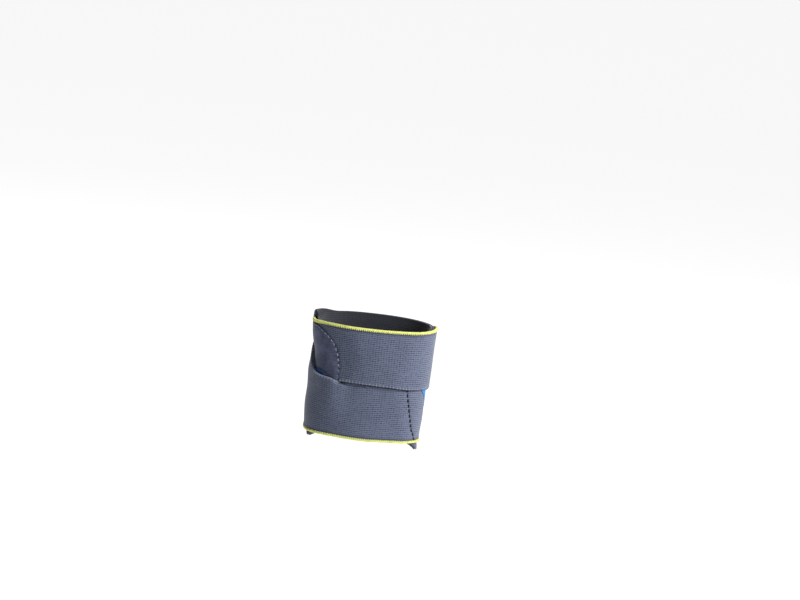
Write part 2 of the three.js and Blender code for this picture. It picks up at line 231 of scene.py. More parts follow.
panel_table = {**PANEL, "around": np.mod(PANEL["around"], GIRTH)}
panel_bottom = column(panel_table, "around", "bottom")
panel_top = column(panel_table, "around", "top")
panel_start, panel_end = panel_table["around"][0], panel_table["around"][-1]
upper_bottom = column(UPPER_BAND, "around", "bottom")
upper_top = column(UPPER_BAND, "around", "top")
root_start = UPPER_BAND["around"][0]
root = Wall(root_start, ROOT_END, upper_bottom, upper_top)


def seam_rise(height):
    return lerp(SEAM_RISE_LOW, SEAM_RISE_HIGH, smoothstep(height, *SEAM_RISE_HEIGHTS))


def rise(around, height):
    """How far the panel stands up over the band that is tucked in behind it."""
    return seam_rise(height) * root.nearness(around, height)


def pad(around, height):
    """The panel's thickness, which is less towards its lower and upper edge."""
    from_edge = np.minimum(height - panel_bottom(around), panel_top(around) - height)
    return lerp(PANEL_EDGE, PANEL_THICK, smoothstep(from_edge, 0, PAD_REACH))


def panel_inner(around, height):
    return lerp(-pad(around, height), seam_rise(height) - PANEL_THIN, root.nearness(around, height))


panel = Wall(panel_start, panel_end, panel_bottom, panel_top).faces(panel_inner, rise)
print(f"the panel goes {panel_end - panel_start:.0f} mm round the form")

# %% [markdown]
# ## The loop strip and the hook patches
# A strip of loop pile lies on the panel from side to side, and a patch of hook tape under each band's
# tail holds on to it. The strip's right end starts beside the lower band's rounded sewn end and stands up
# a little. Its left end is rounded.

# %% The walls of the fastening
LOOP_THICK, HOOK_THICK = 0.5, 0.5
LOOP_ENDS, LOOP_EDGES, LOOP_RADIUS = (31, -23.5), (-13, 4.4), 6
LOOP_LIFT, LOOP_DOWN = 1, (46, 56)
HOOK_ENDS, HOOK_EDGES = (56, 73), (-9, 3)
SEWN_END, SEWN_RADIUS = 41.5, 16.5

lower_bottom = column(LOWER_BAND, "around", "bottom")
lower_top = column(LOWER_BAND, "around", "top")


def sewn_top(around):
    """The lower band's upper edge, with its rounded sewn end."""
    return lower_top(around) - corner(SEWN_END - around, SEWN_RADIUS)


def loop_end(around):
    return corner(GIRTH + LOOP_ENDS[1] - around, LOOP_RADIUS)


def loop_bottom(around):
    beside_band = np.where(around < SEWN_END, sewn_top(around) + GAP, LOOP_EDGES[0])
    return np.maximum(LOOP_EDGES[0], beside_band) + loop_end(around)


def loop_top(around):
    return LOOP_EDGES[1] - loop_end(around)


def loop_rest(around, height):
    """The strip lies on the panel, and its right end stands up a little."""
    lift = np.where(around < 0, 0, LOOP_LIFT * (1 - smoothstep(around, *LOOP_DOWN)))
    return rise(around, height) + GAP + lift


def loop_face(around, height):
    return loop_rest(around, height) + LOOP_THICK


def hook_patch(start, end):
    rest = GAP + LOOP_THICK + GAP
    patch = Wall(start, end, flat(HOOK_EDGES[0]), flat(HOOK_EDGES[1]))
    return patch.faces(flat(rest), flat(rest + HOOK_THICK))


loop_strip = Wall(LOOP_ENDS[0], GIRTH + LOOP_ENDS[1], loop_bottom, loop_top).faces(loop_rest, loop_face)
lower_hook = hook_patch(-HOOK_ENDS[1], -HOOK_ENDS[0])
upper_hook = hook_patch(*HOOK_ENDS)
print(f"the strip is {loop_strip.end - loop_strip.start:.0f} mm long")

# %% [markdown]
# ## The lining
# A thin lining lies behind the panel and behind the band's tucked-in root. It stands a hair proud of the
# panel's edge, where it shows as a dark line, and stops short of the panel's left end.

# %% The lining's wall
LINING_THICK, LINING_PROUD, LINING_STOP, BAND_THICK = 0.8, 0.1, -19, 1.6


def root_rest(height):
    """The inner face of the band's tucked-in root."""
    return seam_rise(height) - PANEL_THIN - GAP - BAND_THICK


def lining_bottom(around):
    return panel_bottom(around + LINING_PROUD) - LINING_PROUD


def lining_outer(around, height):
    padded = -pad(around, height)
    return np.minimum(padded, lerp(padded, root_rest(height), root.nearness(around, height))) - GAP


def lining_inner(around, height):
    return lining_outer(around, height) - LINING_THICK


lining_top = column(panel_table, "around", "lining")
lining = Wall(panel_start - LINING_PROUD, GIRTH + LINING_STOP, lining_bottom, lining_top)
lining.faces(lining_inner, lining_outer)
print(f"the lining goes {lining.end - lining.start:.0f} mm round the form")

# %% [markdown]
# ## Taut cloth
# Stretched elastic can't follow a hollow: it runs straight across from each thing that it bears on to
# the next. So at each place around, what lies below is sampled across the band's width, and the band
# takes the straight lines over its high points. A little smoothing then stands for the stiffness of
# the webbing. The heights are kept in a small grid and read back by interpolation.

# %% Faces of taut cloth
FRONT_REST = -1.0  # how far off the form a band lies on the front where nothing is below it
TABLE_STEP, TABLE_ROWS, SOFTENING = 0.5, 25, 3


def soften(table, axis, rounds):
    """A running average along one axis, which keeps the ends where they are."""
    last = table.shape[axis] - 1
    ahead = np.minimum(np.arange(last + 1) + 1, last)
    behind = np.maximum(np.arange(last + 1) - 1, 0)
    for _ in range(rounds):
        table = (table.take(ahead, axis) + table.take(behind, axis) + 2 * table) / 4
    return table


def taut_faces(band, bearings, tuck=None):
    """Gives a band its faces. Each bearing is a wall and the share that counts at each place around."""
    places = np.arange(band.start, band.end + TABLE_STEP, TABLE_STEP)
    shares = np.linspace(0, 1, TABLE_ROWS)
    around = np.broadcast_to(places[:, None], (len(places), TABLE_ROWS))
    height = lerp(band.bottom(places)[:, None], band.top(places)[:, None], shares)
    rest = np.full(around.shape, FRONT_REST)
    for wall, share in bearings:
        counts = wall.nearness(around, height) * share(around)
        borne = lerp(FRONT_REST, wall.outer(around, height) + GAP, counts)
        rest = np.maximum(rest, np.where(counts > 0, borne, rest))
    spanned = rest.copy()
    for i in range(TABLE_ROWS):
        for j in range(i + 2, TABLE_ROWS):
            line = lerp(rest[:, i, None], rest[:, j, None], np.linspace(0, 1, j - i + 1))
            spanned[:, i : j + 1] = np.maximum(spanned[:, i : j + 1], line)
    spanned = soften(soften(spanned, 1, SOFTENING), 0, SOFTENING)
    if tuck is not None:
        spanned = tuck(around, height, spanned)

    def inner(around, height):
        low, high = band.bottom(around), band.top(around)
        across = np.clip((height - low) / (high - low), 0, 1) * (TABLE_ROWS - 1)
        along = np.clip((around - band.start) / TABLE_STEP, 0, len(places) - 1)
        i = np.minimum(along.astype(int), len(places) - 2)
        j = np.minimum(across.astype(int), TABLE_ROWS - 2)
        left = lerp(spanned[i, j], spanned[i, j + 1], across - j)
        right = lerp(spanned[i + 1, j], spanned[i + 1, j + 1], across - j)
        return lerp(left, right, along - i)

    return band.faces(inner, lambda around, height: inner(around, height) + BAND_THICK)


print(f"taut cloth is worked out every {TABLE_STEP} mm in {TABLE_ROWS} rows")

# %% [markdown]
# ## The two bands
# The lower band is sewn on at the right. It comes up over the panel's left end and goes on over the strip
# to its hook patch. The upper band starts behind the panel's left end, rises over the lower band, and
# goes on over the panel's right end to its own patch. What a band bears on counts only along a stretch
# that starts softly. Room is left along one edge of each for the thick coloured yarn.

# %% The bands' walls
EDGE_RADIUS = 1.1
EDGE_SPACE, EDGE_LIFT = 2 * EDGE_RADIUS + GAP, EDGE_RADIUS - 0.1
TAIL_REACH, TAIL_RADIUS = 78, 10
CROSSING_START, LOWER_DOWN, UPPER_UP = -18.5, -8, 6
TUCK_START, TUCK_LOW, TUCK_HIGH, TUCK_RISE = 1.5, 7.5, 14, 12


def before_crossing(around):
    return np.where(around < 0, 1 - smoothstep(around, CROSSING_START, LOWER_DOWN), 1)


def left_half(around):
    return np.where(around < 0, 1, 0)


def past_crossing(around):
    return smoothstep(around, ROOT_END, UPPER_UP)


def right_half(around):
    return smoothstep(around, LOWER_DOWN, -LOWER_DOWN)


def tuck_in(around, height, rest):
    """Towards its tucked-in end the upper band sinks behind the panel."""
    tuck_end = lerp(TUCK_LOW, TUCK_HIGH, smoothstep(height, 0, TUCK_RISE))
    beside = smoothstep(panel.outside(around, height), TUCK_START, tuck_end)
    return lerp(root_rest(height), rest, np.where(around < 0, beside, 1))


lower_band = taut_faces(
    Wall(
        -TAIL_REACH,
        SEWN_END,
        lambda around: lower_bottom(around) + EDGE_SPACE + corner(around + TAIL_REACH, TAIL_RADIUS),
        lambda around: sewn_top(around) - corner(around + TAIL_REACH, TAIL_RADIUS),
    ),
    [(panel, before_crossing), (loop_strip, left_half), (lower_hook, flat(1))],
)
upper_band = taut_faces(
    Wall(
        root_start,
        TAIL_REACH,
        lambda around: upper_bottom(around) + corner(TAIL_REACH - around, TAIL_RADIUS),
        lambda around: upper_top(around) - EDGE_SPACE - corner(TAIL_REACH - around, TAIL_RADIUS),
    ),
    [(lower_band, past_crossing), (panel, right_half), (loop_strip, right_half), (upper_hook, right_half)],
    tuck_in,
)
for name, band in (("upper", upper_band), ("lower", lower_band)):
    print(f"the {name} band is {band.end - band.start:.0f} mm long")

# %% [markdown]
# ## Shader maths as Python
# A procedural material is a chain of small sums. Adding each Math node by hand hides the idea, so one
# class wraps a socket and turns +, -, * and ** into nodes. Any other node comes from one function, which
# takes the node's kind, its settings and what goes into its sockets. Both serve the geometry trees too.

# %% Nodes and sums


def new_node(tree, kind, settings, inputs):
    """A node in a shader or geometry tree: its settings first, then the values and links of its sockets."""
    node = tree.nodes.new(kind)
    for key, value in settings.items():
        setattr(node, key, value)
    for key, value in inputs.items():
        if isinstance(value, Flow):
            tree.links.new(value.socket, node.inputs[key])
        else:
            node.inputs[key].default_value = value
    return node


class Flow:
    """A value on its way through a tree, with the sums that can be done on it."""

    def __init__(self, tree, socket):
        self.tree, self.socket = tree, socket

    def beside(self, output):
        """Another output of the same node."""
        return Flow(self.tree, self.socket.node.outputs[output])

    def sum(self, operation, *values):
        node = new_node(self.tree, "ShaderNodeMath", {"operation": operation}, dict(enumerate(values)))
        return Flow(self.tree, node.outputs[0])

    def __add__(self, other):
        return self.sum("ADD", self, other)

    def __sub__(self, other):
        return self.sum("SUBTRACT", self, other)

    def __rsub__(self, other):
        return self.sum("SUBTRACT", other, self)

    def __mul__(self, other):
        return self.sum("MULTIPLY", self, other)

    def __pow__(self, other):
        return self.sum("POWER", self, other)

    __radd__, __rmul__ = __add__, __mul__

    def fraction(self):
        return self.sum("FRACT", self)

    def floor(self):
        return self.sum("FLOOR", self)

    def size(self):
        return self.sum("ABSOLUTE", self)

    def above(self, other):
        return self.sum("MAXIMUM", self, other)

    def clamped(self):
        """The value, kept from 0 to 1."""
        return self.sum("MINIMUM", self.above(0.0), 1.0)


print("flows can be added, taken away, multiplied, raised and clamped")

# %% [markdown]
# ## A finish
# A finish is one material with the Principled shader. Only sockets that a bake can keep are fed by sums:
# the base colour, the roughness and the normal. A value that is the same all over is set on the shader
# itself. A weave follows the cloth, so it reads the piece's own UV map. Clouds in the dye don't care how
# the cloth runs, so they read the place in the object.

# %% The finishes' class
DETAIL, COARSE = 3.0, 2.0


class Finish:
    """One cloth's material: a shader, and the nodes that feed it."""

    def __init__(self, name, **constants):
        self.material = bpy.data.materials.new(name)
        self.material.use_nodes = True
        self.tree = self.material.node_tree
        self.shader = self.tree.nodes["Principled BSDF"]
        for key, value in constants.items():
            self.shader.inputs[key.replace("_", " ").title().replace("Ior", "IOR")].default_value = value

    def node(self, kind, settings, inputs, output=0):
        return Flow(self.tree, new_node(self.tree, kind, settings, inputs).outputs[output])

    def cloth(self):
        """The place on the cloth, as two flows: along it and across it."""
        place = self.node("ShaderNodeUVMap", {"uv_map": "cloth"}, {})
        along = self.node("ShaderNodeSeparateXYZ", {}, {0: place})
        return along, along.beside(1)

    def vector(self, x, y):
        return self.node("ShaderNodeCombineXYZ", {}, {0: x, 1: y})

    def noise(self, place, scale=1.0, detail=DETAIL):
        return self.node("ShaderNodeTexNoise", {}, {"Vector": place, "Scale": scale, "Detail": detail})

    def cloud(self, scale, detail=DETAIL):
        """Noise that goes by the place in the object, with a scale in clouds to a metre."""
        return self.noise(self.node("ShaderNodeTexCoord", {}, {}, "Object"), scale, detail)

    def attribute(self, name):
        return self.node("ShaderNodeAttribute", {"attribute_name": name}, {}, "Fac")

    def mix(self, share, first, second):
        return self.node("ShaderNodeMix", {"data_type": "RGBA"}, {0: share, 6: first, 7: second}, 2)

    def feed(self, tone, roughness, relief, strength, depth):
        """Links what changes over the cloth to the shader. depth is the relief's, in millimetres."""
        bump = {"Strength": strength, "Distance": depth * MM, "Height": relief}
        normal = self.node("ShaderNodeBump", {}, bump)
        for key, flow in (("Base Color", tone), ("Roughness", roughness), ("Normal", normal)):
            self.tree.links.new(flow.socket, self.shader.inputs[key])
        return self.material


def colour(*screen):
    """A screen colour, from 0 to 255, as the linear colour that shaders use."""
    linear = [((c / 255 + 0.055) / 1.055) ** 2.4 if c > 10 else c / 255 / 12.92 for c in screen]
    return (*linear, 1.0)


print("finishes are fed by colour, roughness and relief")

# %% [markdown]
# ## Webbing
# The bands are woven elastic. Rubber cords run along them in rows, with a groove between two rows. A binding
# yarn crosses from row to row in even columns, so in each groove lies a line of short dark dashes, some
# darker than others. The mesh carries that relief, so the same rule is written twice: once in numbers for
# the mesh and once as shader sums for the colour. The cloth is darker beside the thick coloured edge and
# paler at its plain edge. Where the upper band's edge lies over the lower band, a painted shadow makes the
# lower band nearly black.

# %% The weave
COLUMN, ROWS, WEAVE_DEPTH = 1.5, 28, 0.22
GROOVE, GROOVE_SLOPE = 0.4, 3.0  # the groove's depth as a share of a dash's, and how steep its sides are
DASH_LEAST, DASH_SPREAD, GROOVE_TONE = 0.1, 1.1, 0.36
FIBRE_TONE, CLOUD_TONE, TONE_START = 1.2, 0.35, 0.78
FIBRES_ALONG, FIBRES_ACROSS, WEB_CLOUDS = 3.0, 5.0, 90.0
EDGE_FADE, SELVAGE_FADE = 1.2, 0.5
WEB_LIGHT, WEB_DARK = colour(87, 94, 114), colour(27, 31, 46)
# OVERLAP_SHADE is a painted shadow: the dark line on the lower band under the upper band's edge.
EDGE_SHADE, SELVAGE_TONE, OVERLAP_SHADE = colour(52, 57, 73), colour(108, 113, 130), colour(14, 16, 23)


def weave(along, across):
    """How deep the cloth dips, from 0 to 1, at a place measured in columns and rows."""
    x = np.abs(2 * np.mod(along, 1) - 1)
    y = np.abs(np.mod(across + 0.5, 1) - 0.5)
    return (GROOVE + (1 - GROOVE) * (1 - x**2) ** 2) * np.maximum(0, 1 - GROOVE_SLOPE * y)


def webbing(name, edge_row):
    """The bands' finish. edge_row is the row beside the thick coloured edge."""
    web = Finish(name, sheen_weight=0.4, sheen_roughness=0.4, specular_ior_level=0.2)
    along, across = web.cloth()
    x = (2 * along.fraction() - 1).size()
    y = ((across + 0.5).fraction() - 0.5).size()
    groove = (1 - GROOVE_SLOPE * y).above(0.0)
    dash = (1 - x**2.0) ** 2.0 * groove
    crossing = web.vector(along.floor(), (across + 0.5).floor())
    knot = web.node("ShaderNodeTexWhiteNoise", {"noise_dimensions": "2D"}, {"Vector": crossing})
    fibre = web.noise(web.vector(along * FIBRES_ALONG, across * FIBRES_ACROSS))
    dark = dash * (DASH_LEAST + DASH_SPREAD * knot) + groove * GROOVE_TONE + fibre * FIBRE_TONE
    dark = (dark + web.cloud(WEB_CLOUDS, COARSE) * CLOUD_TONE - TONE_START).clamped()
    beside_edge = (1 - (across - edge_row).size() * EDGE_FADE).above(0.0)
    beside_selvage = (SELVAGE_FADE - (across - (ROWS - edge_row)).size() * SELVAGE_FADE).above(0.0)
    tone = web.mix(beside_selvage, web.mix(dark, WEB_LIGHT, WEB_DARK), SELVAGE_TONE)
    # painted shadow on the lower band where the upper band's edge lies over it
    tone = web.mix(web.attribute("shade"), web.mix(beside_edge, tone, EDGE_SHADE), OVERLAP_SHADE)
    return web.feed(tone, 0.8 + 0.15 * dash, fibre * 0.6 - dash - groove * 0.5, strength=0.5, depth=0.15)


upper_webbing = webbing("upper webbing", ROWS)
lower_webbing = webbing("lower webbing", 0)
print(f"webbing of {ROWS} rows, with columns of {COLUMN} mm")

# %% [markdown]
# ## The panel's two cloths
# The panel has a brushed face: its short nap scatters light, so it is darker than the webbing face on
# and paler at grazing angles, which is what sheen is for. Its cut edge and back are dark, and the mesh
# says where those are. The lining is a dark fine knit, whose wales and courses are two crossed waves.

# %% Nap and knit
NAP_LIGHT, NAP_DARK, NAP_CORE = colour(92, 97, 121), colour(40, 43, 60), colour(26, 27, 34)
NAP_ALONG, NAP_SLANT, NAP_ACROSS, NAP_DETAIL, NAP_CLOUDS = 350.0, 200.0, 1500.0, 4.0, 140.0
NAP_FIBRE_TONE, NAP_START, CUT_START, CUT_SLOPE = 1.1, 0.55, 0.75, 8.0
KNIT_LIGHT, KNIT_DARK = colour(52, 54, 64), colour(20, 21, 27)
WALES, COURSES, KNIT_CLOUDS = 1250.0, 900.0, 120.0
KNIT_LOOP_TONE, KNIT_CLOUD_TONE, KNIT_START = 0.7, 0.4, 0.1


def brushed_nap():
    nap = Finish("brushed nap", sheen_weight=0.3, sheen_roughness=0.4, specular_ior_level=0.15)
    along, across = nap.cloth()
    lie = nap.vector(along * NAP_ALONG + across * NAP_SLANT, across * NAP_ACROSS)
    fibre, cloud = nap.noise(lie, 1.0, NAP_DETAIL), nap.cloud(NAP_CLOUDS)
    light = (fibre * NAP_FIBRE_TONE + cloud - NAP_START).clamped()
    cut = ((nap.attribute("inward") - CUT_START) * CUT_SLOPE).clamped()
    tone = nap.mix(cut, nap.mix(light, NAP_DARK, NAP_LIGHT), NAP_CORE)
    return nap.feed(tone, 0.9 + 0.1 * fibre, fibre + cloud * 0.6, strength=0.35, depth=0.2)


def fine_knit():
    knit = Finish("fine knit", sheen_weight=0.3, specular_ior_level=0.2)
    along, across = knit.cloth()
    wale = (2 * (along * WALES).fraction() - 1).size()
    course = (2 * (across * COURSES + wale * 0.5).fraction() - 1).size()
    loop = ((1 - wale**2.0) * (1 - course**2.0)).above(0.0)
    cloud = knit.cloud(KNIT_CLOUDS)
    light = (loop * KNIT_LOOP_TONE + cloud * KNIT_CLOUD_TONE - KNIT_START).clamped()
    tone = knit.mix(light, KNIT_DARK, KNIT_LIGHT)
    return knit.feed(tone, 0.95 - 0.15 * loop, loop + cloud * 0.3, strength=0.5, depth=0.2)


nap_finish = brushed_nap()
knit_finish = fine_knit()
print(f"the knit has {WALES * MM:.2f} wales and {COURSES * MM:.2f} courses to a millimetre")

# %% [markdown]
# ## Pile, cord and thread
# Loop pile is a bed of bright curls on a ground of the same colour. At the strip's left end, which lies in
# the lower band's shade, the pile is thinned and a darker ground tone shows: painted shade. The coloured
# edge is a lively lime yarn. The threads are a paler and a darker grey. In all of them the dye wanders along
# the yarn, so they share one rule.

# %% The spun finishes
PILE_LIGHT, PILE_DARK, PILE_CLOUDS = colour(70, 122, 168), colour(36, 80, 132), 420.0
# the ground's darker tones are painted shade for the strip's left end
SHADED_GROUND_LIGHT, SHADED_GROUND_DARK, GROUND_CLOUDS = colour(46, 74, 120), colour(28, 42, 78), 900.0
LIME_LIGHT, LIME_DARK, LIME_CLOUDS = colour(226, 230, 144), colour(176, 178, 60), 500.0
HOOK_LIGHT, HOOK_DARK, HOOK_CLOUDS = colour(44, 45, 52), colour(16, 16, 20), 1500.0
BROAD_TONE, FINE_TONE, SPUN_START, FINENESS = 1.1, 0.7, 0.4, 7
THREAD_CLOUDS = 900.0


def spun(name, dark, light, scale, **constants):
    """A yarn or pile whose tone wanders along it."""
    yarn = Finish(name, **constants)
    broad, fine = yarn.cloud(scale), yarn.cloud(scale * FINENESS, COARSE)
    share = (broad * BROAD_TONE + fine * FINE_TONE - SPUN_START).clamped()
    return yarn.feed(yarn.mix(share, dark, light), 0.95 - 0.2 * fine, fine, strength=0.35, depth=0.1)


def thread(name, dark, light):
    return spun(name, colour(*dark), colour(*light), THREAD_CLOUDS, specular_ior_level=0.3)


def pile_ground():
    """The cloth that the pile stands on, painted darker at the strip's left end as the lower band's shade.
    """
    ground = Finish("pile ground", specular_ior_level=0.2)
    cloud = ground.cloud(GROUND_CLOUDS)
    bare, full = ground.mix(cloud, SHADED_GROUND_DARK, SHADED_GROUND_LIGHT), ground.mix(cloud, PILE_DARK, PILE_LIGHT)
    tone = ground.mix(ground.attribute("shade"), full, bare)
    return ground.feed(tone, 0.85 + 0.15 * cloud, cloud, strength=0.4, depth=0.2)


ground_finish = pile_ground()
pile_finish = spun("loop pile", PILE_DARK, PILE_LIGHT, PILE_CLOUDS, sheen_weight=0.4, specular_ior_level=0.2)
lime_finish = spun("lime yarn", LIME_DARK, LIME_LIGHT, LIME_CLOUDS, sheen_weight=0.2, specular_ior_level=0.3)
hook_finish = spun("hook tape", HOOK_DARK, HOOK_LIGHT, HOOK_CLOUDS, specular_ior_level=0.4)
pale_thread = thread("pale thread", (112, 116, 130), (152, 156, 170))
dark_thread = thread("dark thread", (12, 15, 27), (28, 33, 52))
selvage_yarn = thread("selvage yarn", (104, 110, 126), (142, 148, 164))
print("finishes:", ", ".join(sorted(m.name for m in bpy.data.materials if m.use_nodes)))

# %% [markdown]
# ## Grids
# A wall's face is a grid of points: places around, and shares of the height from its lower edge to its
# upper one. A rim needs closer points than the middle. Front and back share the points of the outline, so
# that the mesh is closed without any merging.

# %% Grid helpers
RIM_STEPS, RIM_SPACE = np.array([0.12, 0.35, 0.7]), 0.1


def steps(start, end, step):
    return np.linspace(start, end, 2 + int((end - start) / step))


def graded(start, end, inside, rim):
    """Places from start to end: those given, and closer ones at the two rims."""
    near, far = start + rim * RIM_STEPS, end - rim * RIM_STEPS[::-1]
    inside = inside[(inside > near[-1] + rim * RIM_SPACE) & (inside < far[0] - rim * RIM_SPACE)]
    return np.concatenate([[start], near, inside, far, [end]])


def grid_quads(grid):
    """The faces between neighbouring points of a grid of point numbers."""
    return np.stack([grid[:-1, :-1], grid[1:, :-1], grid[1:, 1:], grid[:-1, 1:]], -1).reshape(-1, 4)


def both_faces(front, back):
    """One list of values at the front's points, then at the back's, which has no rim points of its own."""
    each = front.shape[2:]
    return np.concatenate([front.reshape(-1, *each), back[1:-1, 1:-1].reshape(-1, *each)])


def store(mesh, name, values):
    """Keeps a number at each point of a mesh."""
    mesh.attributes.new(name, "FLOAT", "POINT").data.foreach_set("value", values.ravel().astype(np.float32))


def keep(name, mesh):
    """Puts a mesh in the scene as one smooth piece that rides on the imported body."""
    piece = bpy.data.objects.new(name, mesh)
    bpy.context.scene.collection.objects.link(piece)
    mesh.shade_smooth()
    print(f"{name}: {sum(len(p.vertices) - 2 for p in mesh.polygons)} triangles")
    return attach(piece, "root")


print(f"a rim takes {len(RIM_STEPS)} extra steps")

# %% [markdown]
# ## Soft walls as meshes
# A cloth wall could be a plane with a Solidify modifier, but that leaves square rims. Here the two
# faces are drawn together as a quarter circle towards the outline, where they share their last points,
# so the rim comes out round. The cloth's own measures go in as a UV map, and each point keeps how far it
# is from the outer face to the inner one.

# %% The mesh of a wall


def wall_piece(name, wall, places, shares, rim, finish, measure, relief=flat(0), shade=None):
    """A wall as a closed mesh. measure gives the cloth's own place, and relief moves the outer face."""
    height = lerp(wall.bottom(places)[:, None], wall.top(places)[:, None], shares)
    around = np.broadcast_to(places[:, None], height.shape)
    swell = np.clip(wall.depth(around, height) / rim, 0, 1)
    swell = np.sqrt(1 - (1 - swell) ** 2)
    swell[[0, -1]] = 0
    swell[:, [0, -1]] = 0
    inner, outer = wall.inner(around, height), wall.outer(around, height)
    middle, half = (outer + inner) / 2, (outer - inner) / 2
    front = middle + half * swell + relief(around, height) * swell
    points = both_faces(off_form(around, height, front), off_form(around, height, middle - half * swell))
    fronts = np.arange(height.size).reshape(height.shape)
    backs = fronts.copy()
    backs[1:-1, 1:-1] = np.arange(height.size, len(points)).reshape(backs[1:-1, 1:-1].shape)
    quads = np.concatenate([grid_quads(fronts), grid_quads(backs)[:, ::-1]])
    mesh = bpy.data.meshes.new(name)
    mesh.from_pydata(points.tolist(), [], quads.tolist())
    mesh.materials.append(finish)
    cloth = np.stack(np.broadcast_arrays(*measure(around, height)), -1)
    cloth = both_faces(cloth, cloth)[quads.ravel()]
    mesh.uv_layers.new(name="cloth").data.foreach_set("uv", cloth.ravel().astype(np.float32))
    store(mesh, "inward", both_faces(0.5 * (1 - swell), 0.5 + 0.5 * swell))
    if shade is not None:
        store(mesh, "shade", both_faces(shade(around, height), shade(around, height)))
    return keep(name, mesh)


def plain_measure(around, height):
    return around * MM, height * MM


def layer(name, wall, step, rim, finish, slot, node, **looks):
    """A wall drawn in even steps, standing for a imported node."""
    places = graded(wall.start, wall.end, steps(wall.start, wall.end, step), rim)
    tallest = float(np.max(wall.top(places) - wall.bottom(places)))
    shares = graded(0.0, 1.0, steps(0.0, 1.0, step / tallest), rim / tallest)
    piece = wall_piece(name, wall, places, shares, rim, finish, plain_measure, **looks)
    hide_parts(node)
    return piece


print("walls can be made into meshes")

# %% [markdown]
# ## Seams
# Two seams show. A curved one holds the panel's rounded end down on the upper band, a little in from
# its edge. The other runs down the lower band where it is sewn to the panel's right end. Stitches pull
# cloth down, so each seam is first a shallow dent in the walls, and the thread is laid in it later.

# %% The seam lines and their dents
SEAM_INSET, HOLE_INSET = 0.6, 0.1
CURVED_SEAM_START, SEAM_FOOT, END_POINTS = -41, 0.5, 37
RIGHT_SEAM = {
    "height": (-31, -25, -18.4, -8.6, -2.4, 1.5),
    "around": (33.2, 29.9, 27.7, 25.1, 23.7, 23.1),
}
SEAM_STEP, DENT_WIDTH = 0.25, 0.9
CURVED_DENT, RIGHT_DENT = 0.35, 0.3


def inset(line, distance):
    """A line moved to the right of its own direction."""
    along = np.gradient(line, axis=0)
    along /= np.linalg.norm(along, axis=1)[:, None]
    return line + distance * np.stack([along[:, 1], -along[:, 0]], -1)


def dent(line, deep):
    """The dent that a seam pulls into a wall."""

    def relief(around, height):
        around = around - GIRTH * np.round((around - line[:, 0].mean()) / GIRTH)
        return -deep * np.exp(-((distance_to(line, around, height) / DENT_WIDTH) ** 2))

    return relief


edge_places = steps(CURVED_SEAM_START, PANEL["around"][-1], SEAM_STEP)
edge_line = np.stack([edge_places, panel_top(edge_places + GIRTH)], -1)
end_heights = np.linspace(float(panel_top(panel_end)), SEAM_FOOT, END_POINTS)[1:]
end_line = np.stack([np.full(len(end_heights), PANEL["around"][-1]), end_heights], -1)
tongue_edge = np.concatenate([edge_line, end_line])
curved_seam, needle_line = inset(tongue_edge, SEAM_INSET), inset(tongue_edge, HOLE_INSET)
right_heights = steps(RIGHT_SEAM["height"][0], RIGHT_SEAM["height"][-1], SEAM_STEP)
right_seam = np.stack([column(RIGHT_SEAM, "height", "around")(right_heights), right_heights], -1)
print(f"seams: {len(curved_seam)} and {len(right_seam)} points")

# %% [markdown]
# ## Lining and panel
# These are plain walls in fine steps, and the panel gets the curved seam's dent. Solids keep a clearance
# that cloth doesn't have, so the lining and the panel are brought together until they touch. At the top
# left the panel's corner stands a little above the coloured edge. There the outline is raised, and the
# lining comes out to the panel again.

# %% The lining's and the panel's cloth
PANEL_STEP, PANEL_RIM, LINING_STEP, LINING_RIM = 0.6, 0.6, 1.0, 0.3
TOUCH = 0.05
CORNER_TOP, CORNER_REACH, CORNER_EASE = 36.2, (-66, -54, -47, -43), 3


def between(around, start, full, fade, end):
    """1 along a stretch of cloth, with a soft start and a soft end."""
    return smoothstep(around, start, full) * (1 - smoothstep(around, fade, end))


def with_corner(top, corner_top):
    """An upper edge with the corner that stands above the coloured edge at the top left."""

    def edge(around):
        share = between(around - GIRTH, *CORNER_REACH)
        return lerp(top(around), np.maximum(top(around), corner_top), share)

    return edge


def lining_shift(around, height):
    """In the corner, above the tucked-in band, the lining comes out to the panel again."""
    room = panel.inner(around, height) - TOUCH - lining.outer(around, height)
    raised = smoothstep(height - panel.top(around), 0, CORNER_EASE)
    return np.maximum(room, 0) * (between(around - GIRTH, *CORNER_REACH) * raised)


def knit_inner(around, height):
    return lining.inner(around, height) + lining_shift(around, height)


def knit_outer(around, height):
    return lining.outer(around, height) + np.maximum(lining_shift(around, height), GAP - TOUCH)


def nap_inner(around, height):
    """The panel's back touches the band that is tucked in behind it."""
    return panel.inner(around, height) - (GAP - TOUCH) * root.nearness(around, height)


knit_top, nap_top = with_corner(lining.top, CORNER_TOP + LINING_PROUD), with_corner(panel.top, CORNER_TOP)
knit_wall = Wall(lining.start, lining.end, lining.bottom, knit_top).faces(knit_inner, knit_outer)
nap_wall = Wall(panel.start, panel.end, panel.bottom, nap_top).faces(nap_inner, panel.outer)
lining_knit = layer("panel_lining_knit", knit_wall, LINING_STEP, LINING_RIM, knit_finish,
                    "lining", "panel_lining")
panel_cloth = layer("back_panel_cloth", nap_wall, PANEL_STEP, PANEL_RIM, nap_finish,
                    "panel", "back_panel", relief=dent(curved_seam, CURVED_DENT))

# %% [markdown]
# ## Strip and tapes
# The fastening's base cloths are thinner walls with a small rim. The strip's left end lies in the lower
# band's shade: the mesh marks it, and the finish paints it darker as painted shade.

# %% The fastening's cloth
LOOP_STEP, LOOP_RIM = 0.8, 0.25
SHADED_END = (GIRTH - 48, GIRTH - 36)


# painted shade: how far a place is into the strip's left end, which lies in the lower band's shade
def shaded_end(around, height):
    return smoothstep(around, *SHADED_END) + 0 * height


